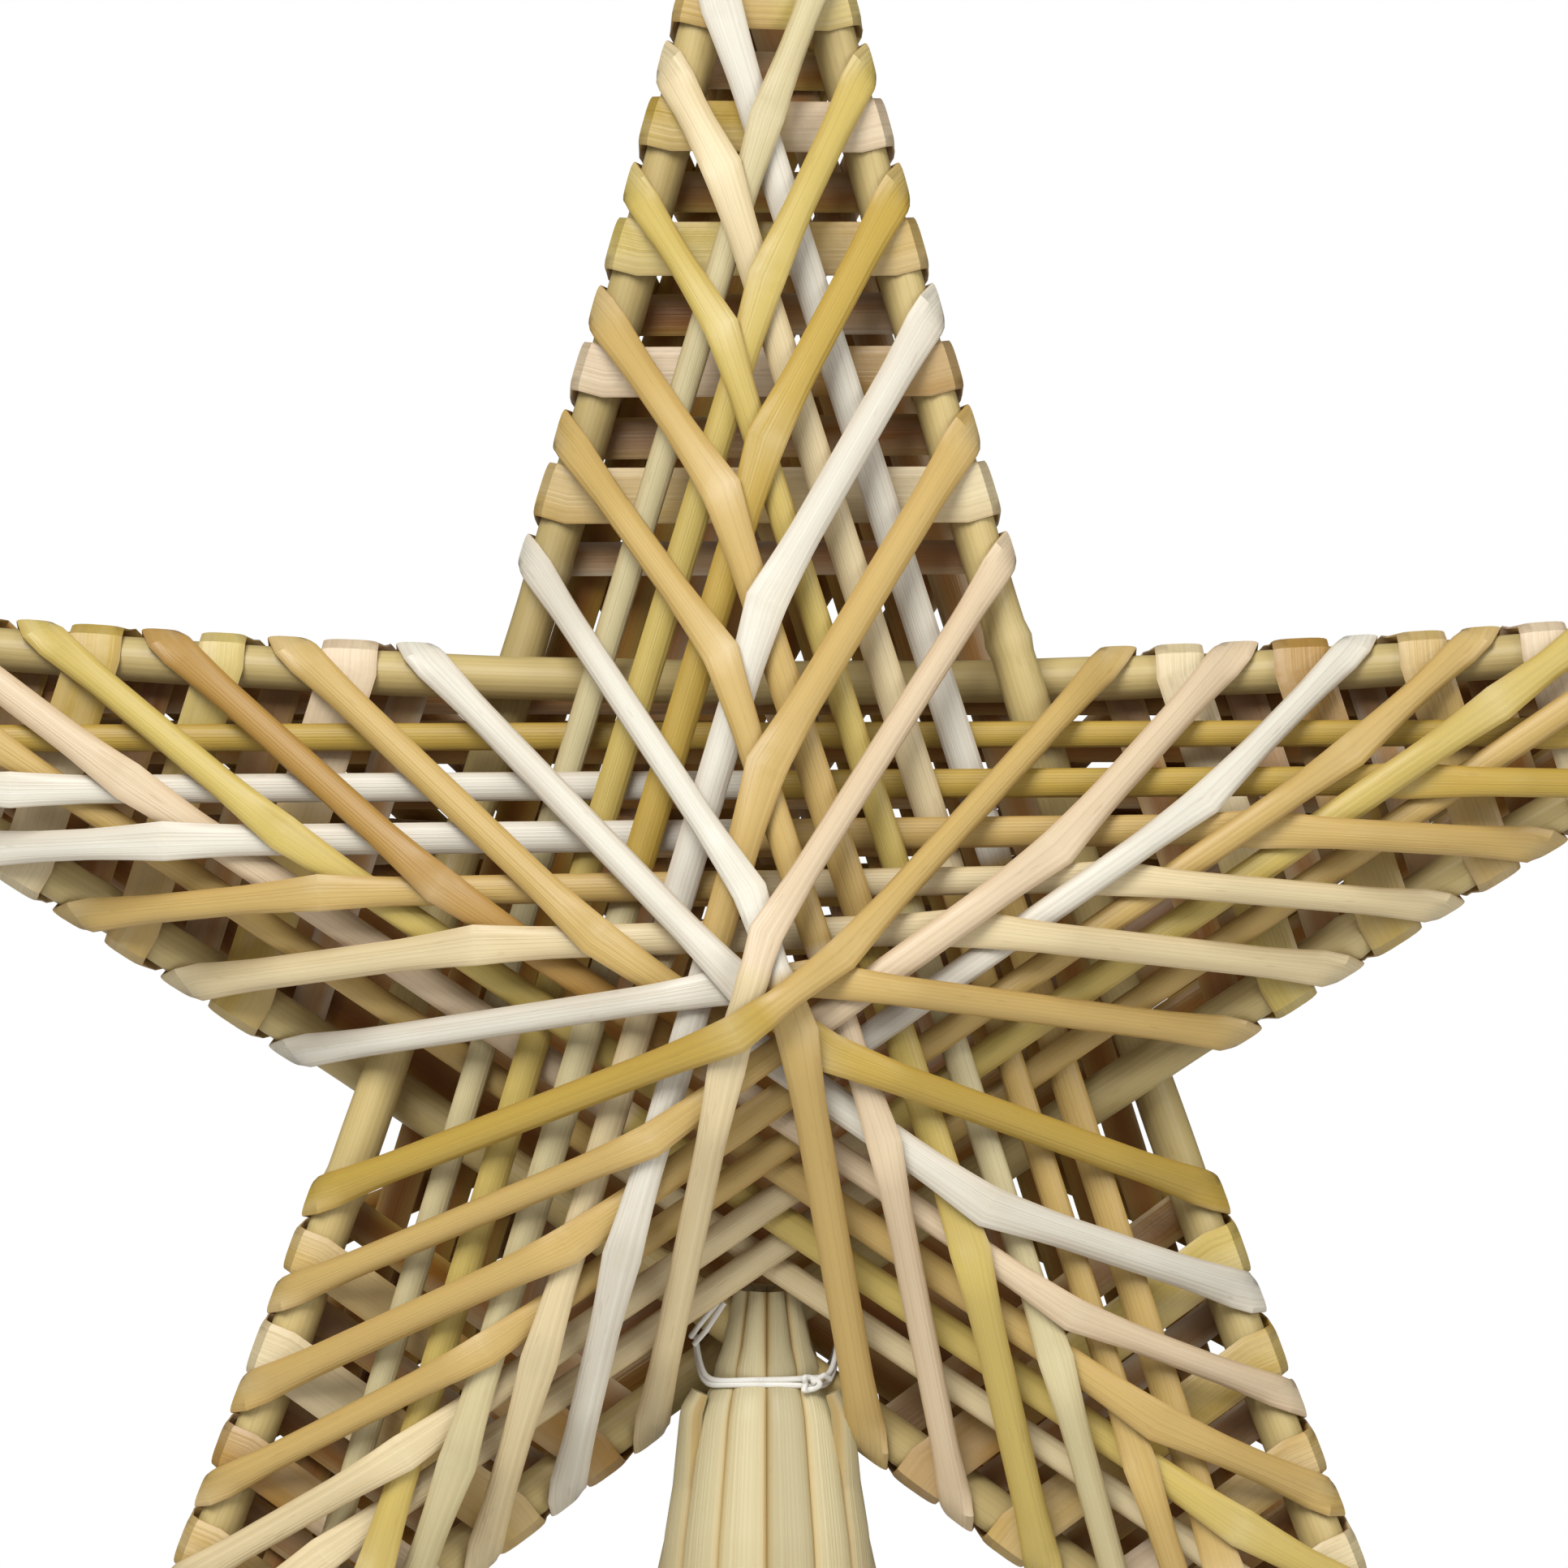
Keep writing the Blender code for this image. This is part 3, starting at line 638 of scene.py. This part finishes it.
def lay_length(ground, arm, course, shift, face):
    """Pull one length tight over the landscape and add it. Returns its points and bend places."""
    start = wrap(arm, 1, course, shift, face)[0][0]
    end = wrap(arm + 3, -1, course, shift, face)[0][0]
    leaving, arriving = bends(arm, course, shift, face)[0], bends(arm + 3, course, shift, face)[1]
    turns = [start[:2], leaving, arriving, end[:2]]
    fixed = along_path(np.array(turns))
    path, places = walk(turns, CELL / 2)
    thick = half_thickness(pressed_flat(places, fixed))
    under = ground[cell_index(strip(path, LAID_HALF_WIDTH)[0])].max(axis=1)
    needed = under + thick + CLEARANCE
    by_end = np.minimum(places, places[-1] - places) < END_ZONE
    needed[by_end] = np.minimum(needed[by_end], min(start[2], end[2]))
    needed[0], needed[-1] = start[2], end[2]
    level = pulled_tight(places, needed)
    raise_ground(ground, path, level + thick, LAID_HALF_WIDTH)
    steps = [np.linspace(low, high, max(int((high - low) / STEP), 2), endpoint=False)
             for low, high in zip(fixed[:-1], fixed[1:])]
    steps = np.concatenate([*steps, [fixed[-1]]])
    plan = np.column_stack([np.interp(steps, fixed, column) for column in np.array(turns).T])
    return np.column_stack([plan, np.interp(steps, places, level)]), steps, fixed


def course_grid(ground, course, shift, face, colours, seed):
    """Five laid lengths, wraps and bands as one closed ring of sections, with painted shade inside.
    """
    chance = np.random.default_rng(seed)
    laid = {arm: lay_length(ground, arm, course, shift, face) for arm in WINDING_ORDER}
    points, ups, tints, flats, widths = [], [], [], [], []
    arm = WINDING_ORDER[0]
    for _ in range(ARMS):
        length, steps, fixed = laid[arm]
        leaving, arriving = colours[arm]
        up = np.tile([0.0, 0.0, 1.0], (len(length), 1))
        up[0] = wrap(arm, 1, course, shift, face)[1][0]
        half = steps < fixed[-1] * 0.5
        tint = np.where(half[:, None], leaving, arriving)
        width = np.where(half, *chance.uniform(*WIDTH_RANGE, 2))
        arm = (arm + 3) % ARMS
        up[-1] = wrap(arm, -1, course, shift, face)[1][0]
        down, down_up = (part[1:] for part in wrap(arm, -1, course, shift, face))
        rise, rise_up = (part[1:][::-1] for part in wrap(arm, 1, course, shift, face))
        behind = down[-1] + (rise[0] - down[-1]) * np.linspace(0, 1, 7)[1:-1, None]
        behind_up = np.tile([0.0, 0.0, -1.0], (len(behind), 1))
        after = np.concatenate([down, behind, rise])
        count = len(after)
        points += [length, after]
        ups += [up, down_up, behind_up, rise_up]
        switch = np.arange(count) < count // 2
        tints += [tint, np.where(switch[:, None], arriving, colours[arm][0])]
        flats += [pressed_flat(steps, fixed), np.ones(count)]
        widths += [width, np.full(count, width[-1])]
    points, ups = np.concatenate(points), np.concatenate(ups)
    flat, width = np.concatenate(flats), np.concatenate(widths)
    world = to_world(points[:, [0, 1]], points[:, 2], face)
    normals = np.column_stack([ups[:, 0], -face * ups[:, 2], ups[:, 1]])
    half_width = (FREE_HALF_WIDTH + FLAT_EXTRA_WIDTH * flat) * width
    half_width = half_width * (1.0 if face > 0 else BACK_WIDTH)
    section = (SECTION_SIDES, True, 1.0 - FLAT_SQUARE * flat, 1.0 - FLAT_FULL * flat)
    grid, across = stalk_grid(world, normals, half_width, half_thickness(flat), *section)
    # Painted shade: the side of each straw that faces into the winding keeps only the given share
    # of its tint.
    outside = 0.5 + 0.5 * np.sin(2 * np.pi * (np.arange(SECTION_SIDES) + 0.5) / SECTION_SIDES)
    painted_inner_shade = np.array(INNER_SIDE_PAINTED_SHADE) + (1 - np.array(INNER_SIDE_PAINTED_SHADE)) * np.sqrt(outside)[:, None]
    # The crease share, flat cubed, buckles the bump and mixes in the paler painted highlight at
    # folds.
    return grid, across, np.concatenate(tints)[:, None] * painted_inner_shade, flat ** 3, True


# %% [markdown]
# Colours of the straws
#
# No two straws have the same colour: some are bleached nearly white, some are gold or brown. The
# table gives each front length a colour at the end where it leaves and one where it arrives,
# because a second straw is pushed into the first where they are hidden. The courses behind take
# theirs in turn from a short list.

# %% Winding both faces
FRONT_COLOURS = (
    {0: (WHITE, TAN), 2: (CREAM, PINK), 4: (TAN, GOLD), 3: (GOLD, WHITE), 1: (WHITE, TAN)},
    {0: (TAN, PINK), 2: (WHITE, TAN), 4: (PINK, TAN), 3: (WHITE, TAN), 1: (CREAM, CREAM)},
    {0: (TAN, YELLOW), 2: (CREAM, WHITE), 4: (WHITE, TAN), 3: (PINK, BROWN), 1: (TAN, CREAM)},
    {0: (YELLOW, PALE), 2: (PALE, GOLD), 4: (TAN, TAN), 3: (TAN, YELLOW), 1: (WHITE, TAN)},
    {0: (CREAM, TAN), 2: (YELLOW, YELLOW), 4: (YELLOW, CREAM), 3: (YELLOW, PINK), 1: (WHITE, GOLD)},
    {0: (WHITE, TAN), 2: (PALE, PALE), 4: (TAN, CREAM), 3: (CREAM, TAN), 1: (GOLD, GOLD)},
)
BACK_LIST = (TAN, CREAM, GOLD, PINK, BROWN, TAN, YELLOW)

for face, word, shift in ((1, "front", 0.0), (-1, "back", BACK_SHIFT)):
    ground = bare_ground(face)
    for course in reversed(range(COURSES)):
        colours = FRONT_COLOURS[course]
        if face < 0:
            picks = [(course * 3 + arm * 2) % len(BACK_LIST) for arm in range(ARMS)]
            pairs = [(BACK_LIST[pick], BACK_LIST[pick - 3]) for pick in picks]
            colours = dict(enumerate(pairs))
        node = f"straw_course_{word}_{course + 1}"
        wound = course_grid(ground, course, shift, face, colours, course + 10 * (face + 1))
        make_piece(f"{word}_course_{course + 1}", [wound], WOUND_STRAW, [node])
    print(word, "courses:", COURSES, "highest, mm:", round(float(ground.max()) * 1000, 1))

# %% [markdown]
# The foot
#
# The foot is a bundle of straws tied tightly just below the star and spread like a broom. At the
# neck the straws are pressed against one another, and their width follows the room that they have.
# Each one is a slightly flattened stalk that ends in a cut at the rim, where the star stands.

# %% Building the foot straws
FRONT_STRAWS = 4
SIDE_STRAWS = 3
FOOT_STRAWS = 2 * (FRONT_STRAWS + SIDE_STRAWS)
TIE_LEVEL = LOWER_NOTCH[1] - 0.0053
FOOT_HEIGHT = TIE_LEVEL + STAR_HEIGHT

# The bundle's outline at levels above the tie: half its width and half its depth.
BUNDLE_LEVELS = np.array([-FOOT_HEIGHT, -0.0190, -0.0045, -0.0012, 0.0, 0.0012, 0.0040, 0.0110])
BUNDLE_HALF_WIDTHS = np.array([0.0190, 0.0119, 0.0096, 0.0086, 0.0078, 0.0077, 0.0062, 0.0042])
BUNDLE_HALF_DEPTHS = np.array([0.0190, 0.0118, 0.0088, 0.0078, 0.0068, 0.0070, 0.0070, 0.0066])

# A straw beside the front ones starts in front of the stems and joins the outline lower down.
JOIN_LEVELS = np.array([-0.0130, -0.0036, -0.0012])
JOIN_SHARES = np.array([0.0, 1.0, 1.0])
BESIDE_WIDTHS = np.array([0.0106, 0.0092, 0.0082])
BESIDE_DEPTH = 0.0071
BESIDE_TOP_HALF = 0.0013
BESIDE_TAPER = 0.09

# The levels of the straws' tops from the tie, and what gives the straws their section.
TOP_LEVEL = 0.0110
CORNER_TOP_LEVEL = -0.0012
SIDE_TOP_LEVEL = -0.0140
FOOT_RINGS = 110
FOOT_HALF_THICKNESS = 0.0013
WIDEST_HALF = 0.0034
ROOM_SHARE = 0.54
PINCH_REACH = 0.0022
PINCH_LOSS = 0.0005
SLIM_REACH = 0.012
SLIMMEST = 0.3


def bundle_spot(angle, level):
    """Outline point: half width * sin(a)^0.95 and half depth * cos(a)^0.95 at each level."""
    wide = np.interp(level, BUNDLE_LEVELS, BUNDLE_HALF_WIDTHS)
    deep = np.interp(level, BUNDLE_LEVELS, BUNDLE_HALF_DEPTHS)
    sine, cosine = math.sin(angle), math.cos(angle)
    x = wide * math.copysign(abs(sine) ** 0.95, sine)
    return np.column_stack([x, -deep * math.copysign(abs(cosine) ** 0.95, cosine)])


def foot_grid(index):
    """A stalk down the bundle's outline at its own angle, as wide as its neighbours allow."""
    spacing = 2 * math.pi / FOOT_STRAWS
    angle = spacing * (index + 0.5 - FRONT_STRAWS / 2)
    by_side = abs(math.cos(angle)) < math.cos(spacing * FRONT_STRAWS / 2)
    at_corner = by_side and abs(math.cos(angle)) > 0.2
    top = CORNER_TOP_LEVEL if at_corner else SIDE_TOP_LEVEL if by_side else TOP_LEVEL
    level = np.linspace(-FOOT_HEIGHT, top, FOOT_RINGS)
    spot = bundle_spot(angle, level)
    if at_corner:
        share = np.interp(level, JOIN_LEVELS, JOIN_SHARES)[:, None]
        width = np.interp(level, JOIN_LEVELS, BESIDE_WIDTHS)
        beside = np.column_stack([width, np.full(FOOT_RINGS, BESIDE_DEPTH)])
        spot = spot + (beside * np.sign(spot[0]) - spot) * share
    room = bundle_spot(angle + spacing / 2, level) - bundle_spot(angle - spacing / 2, level)
    points = np.column_stack([spot, level + TIE_LEVEL]) + STAR_MIDDLE
    outward = unit(np.column_stack([-room[:, 1], room[:, 0]]))
    outward = outward * np.sign(np.sum(outward * spot, axis=1))[:, None]
    ups = np.column_stack([outward, np.zeros(FOOT_RINGS)])
    pinch = np.exp(-(level / PINCH_REACH) ** 2)
    half_width = np.minimum(ROOM_SHARE * np.linalg.norm(room, axis=1), WIDEST_HALF)
    if at_corner:
        half_width = np.minimum(half_width, BESIDE_TOP_HALF - BESIDE_TAPER * (level - top))
    outermost = by_side and not at_corner
    slim = np.clip((top - level) / SLIM_REACH, SLIMMEST, 1.0) if outermost else 1.0
    thickness = (FOOT_HALF_THICKNESS - PINCH_LOSS * pinch) * slim
    grid, across = stalk_grid(points, ups, half_width, thickness, STEM_SIDES, False, 0.85, 0.8)
    tint = np.array(FOOT_TINT) * (0.93 + 0.12 * math.sin(index * 2.4))
    # Painted shade: each foot straw darkens towards its edges, where it meets its neighbours.
    tint = tint * (1 - np.array(SEAM_PAINTED_SHADE) * np.abs(across)[..., None] ** 6)
    # The crease share at the pinch buckles the bump and mixes in a paler painted highlight there.
    return grid, across, tint, 0.6 * pinch, False


for index in range(FOOT_STRAWS):
    node = f"foot_straw_{index + 1:02d}"
    make_piece(f"foot_straw_piece_{index + 1}", [foot_grid(index)], FOOT_STRAW, [node])
print("foot straws:", FOOT_STRAWS)

# %% [markdown]
# The thread
#
# White cotton thread holds the bundle. It goes twice round the neck and crosses itself in a small
# knot on the right. A short end is left at the knot and two longer ones lie in the notch. A thread
# is a thin round stalk like the others, only with a matt white finish and a fine twist in its bump.

# %% Building the tie, its knot and its loose ends
CLEAN_COTTON = (0.80, 0.78, 0.72, 1.0)
DUSTY_COTTON = (0.62, 0.58, 0.50, 1.0)


def thread_finish():
    """White cotton with a fine uneven twist: noise stretched across the thread."""
    material, shader, start = new_material("cotton thread")
    place = attribute(start, "stalk_place")
    twist = place.scaled((2500.0, 3.0, 1.0)).noise(1.0)
    colour = place.scaled((80.0, 1.0, 1.0)).noise(2.0)
    base = start.node("ShaderNodeRGB", 0)
    base.socket.default_value = CLEAN_COTTON
    shaded = base.blend(DUSTY_COTTON, colour.between(0.4, 0.7) * 0.4)
    material.node_tree.links.new(shaded.socket, shader.inputs["Base Color"])
    bump = start.node("ShaderNodeBump", 0, None, Height=twist, Strength=0.4, Distance=0.0001)
    material.node_tree.links.new(bump.socket, shader.inputs["Normal"])
    shader.inputs["Roughness"].default_value = 0.85
    return material


COTTON = thread_finish()
THREAD_RADIUS = 0.00036
THREAD_SIDES = 10
TURN_HALF_WIDTH = 0.0087
TURN_HALF_DEPTH = 0.0079
SIDE_RISE = 0.0045


def thread_grid(points, closed, radius=THREAD_RADIUS):
    """A round section along any path, with its up direction away from the neck's axis."""
    ups = unit((points - STAR_MIDDLE) * [1.0, 1.0, 0.0] + [0.0, -1e-4, 0.0])
    grid, across = stalk_grid(points, ups, radius, radius, THREAD_SIDES, closed)
    return grid, across, np.ones(3), np.zeros(len(points)), closed


def neck_turn(offset, phase):
    """A rounded rectangle round the neck: cos and sin to a small power, with a slight wave."""
    angle = np.linspace(0, 2 * np.pi, 120, endpoint=False)
    sine, cosine = np.sin(angle), np.cos(angle)
    x = TURN_HALF_WIDTH * np.sign(sine) * np.abs(sine) ** 0.6
    depth = TURN_HALF_DEPTH * np.sign(cosine) * np.abs(cosine) ** 0.6
    level = TIE_LEVEL + SIDE_RISE * np.abs(sine) ** 9 + offset
    level = level + 0.00015 * np.sin(angle * 3 + phase)
    return np.column_stack([x, -depth, level]) + STAR_MIDDLE


def loose_end(knots, count=40):
    """Even steps along the straight stretches between a few points."""
    knots = np.array(knots, dtype=float)
    share = np.linspace(0, len(knots) - 1, count)
    return np.column_stack([
        np.interp(share, np.arange(len(knots)), column) for column in knots.T
    ]) + STAR_MIDDLE


FRONT_OF_NECK = -0.0083
knot_angle = np.linspace(0, 2 * np.pi, 40, endpoint=False)
knot = np.column_stack([
    0.0052 + 0.0009 * np.cos(knot_angle) + 0.0004 * np.cos(2 * knot_angle),
    FRONT_OF_NECK - 0.0003 * np.cos(3 * knot_angle),
    TIE_LEVEL - 0.0001 + 0.0008 * np.sin(knot_angle),
]) + STAR_MIDDLE
threads = [
    thread_grid(neck_turn(0.00035, 0.0), True),
    thread_grid(neck_turn(-0.00040, 2.0), True),
    thread_grid(knot, True),
    thread_grid(loose_end([
        (0.0055, FRONT_OF_NECK - 0.0002, TIE_LEVEL),
        (0.0070, FRONT_OF_NECK + 0.0004, TIE_LEVEL + 0.0009),
        (0.0078, FRONT_OF_NECK + 0.0010, TIE_LEVEL + 0.0004),
    ]), False),
    thread_grid(loose_end([
        (-0.0089, -0.0066, TIE_LEVEL + 0.0046), (-0.0074, -0.0078, TIE_LEVEL + 0.0064),
        (-0.0052, -0.0081, TIE_LEVEL + 0.0098),
    ]), False),
    thread_grid(loose_end([
        (-0.0093, -0.0066, TIE_LEVEL + 0.0055), (-0.0083, -0.0078, TIE_LEVEL + 0.0070),
        (-0.0060, -0.0081, TIE_LEVEL + 0.0098),
    ]), False),
]
make_piece("thread_round_the_neck", threads, COTTON, ["neck_tie"])
print("threads:", len(threads))

# %% [markdown]
# Floor, light and camera
#
# The star is photographed from straight in front against white. A big soft light stands in front
# and above, and a smaller one on the right. The surround looks white to the camera, but lights the
# star only a little, and least from behind, so the inside of the winding stays dark. The floor is a
# pale disc, out of the picture because the camera is close and level.

# %% The studio
def flat_disc(name, radius, level, sides=96):
    """A level disc: points at radius * (cos a, sin a) and one face."""
    angle = np.linspace(0, 2 * np.pi, sides, endpoint=False)
    ring = [radius * np.cos(angle), radius * np.sin(angle), np.full(sides, level)]
    corners = np.column_stack(ring)
    mesh = bpy.data.meshes.new(name)
    mesh.from_pydata(corners.tolist(), [], [list(range(sides))])
    material, shader, _ = new_material("pale floor")
    shader.inputs["Base Color"].default_value = (0.86, 0.85, 0.83, 1.0)
    shader.inputs["Roughness"].default_value = 0.9
    mesh.materials.append(material)
    disc = bpy.data.objects.new(name, mesh)
    bpy.context.scene.collection.objects.link(disc)
    return disc


def soft_light(name, spot, size, power):
    """A square area light that looks at the star's middle."""
    data = bpy.data.lights.new(name, "AREA")
    data.size = size
    data.energy = power
    light = bpy.data.objects.new(name, data)
    bpy.context.scene.collection.objects.link(light)
    light.location = spot
    aim = np.array(spot) - STAR_MIDDLE
    tilt = math.acos(aim[2] / np.linalg.norm(aim))
    light.rotation_euler = (tilt, 0.0, math.atan2(aim[0], -aim[1]))
    return light


floor = flat_disc("floor", 0.42, -0.0002)
lights = [
    soft_light("front_light", (-0.40, -1.1, 1.05), 0.8, 23.0),
    soft_light("side_light", (1.0, -1.0, 0.6), 0.8, 7.0),
]

FRONT_SURROUND = 0.23
BEHIND_LOSS = 0.17
scene = bpy.context.scene
world = bpy.data.worlds.new("white surround")
world.use_nodes = True
sky = Value(world.node_tree, None)
background = world.node_tree.nodes["Background"]
background.inputs["Color"].default_value = (1.0, 1.0, 1.0, 1.0)
seen = sky.node("ShaderNodeLightPath", 0)
direction = sky.node("ShaderNodeTexCoord", 0)
towards_back = direction.node("ShaderNodeSeparateXYZ", 1, None, Vector=direction)
lit_side = FRONT_SURROUND - towards_back.between(-0.4, 0.5) * BEHIND_LOSS
strength = lit_side + seen * (1 - lit_side)
world.node_tree.links.new(strength.socket, background.inputs["Strength"])
scene.world = world
scene.view_settings.view_transform = "Standard"

CAMERA_DISTANCE = 0.9
CAMERA_SIDE = 0.0021
CAMERA_RISE = 0.0249
PICTURE_WIDTH = 0.1932
camera_data = bpy.data.cameras.new("camera")
camera_data.sensor_width = 36.0
camera_data.lens = 36.0 * CAMERA_DISTANCE / PICTURE_WIDTH
camera = bpy.data.objects.new("camera", camera_data)
scene.collection.objects.link(camera)
camera.location = STAR_MIDDLE + [CAMERA_SIDE, -CAMERA_DISTANCE, CAMERA_RISE]
camera.rotation_euler = (math.pi / 2, 0.0, 0.0)
scene.camera = camera
print("camera at", [round(value, 3) for value in camera.location])
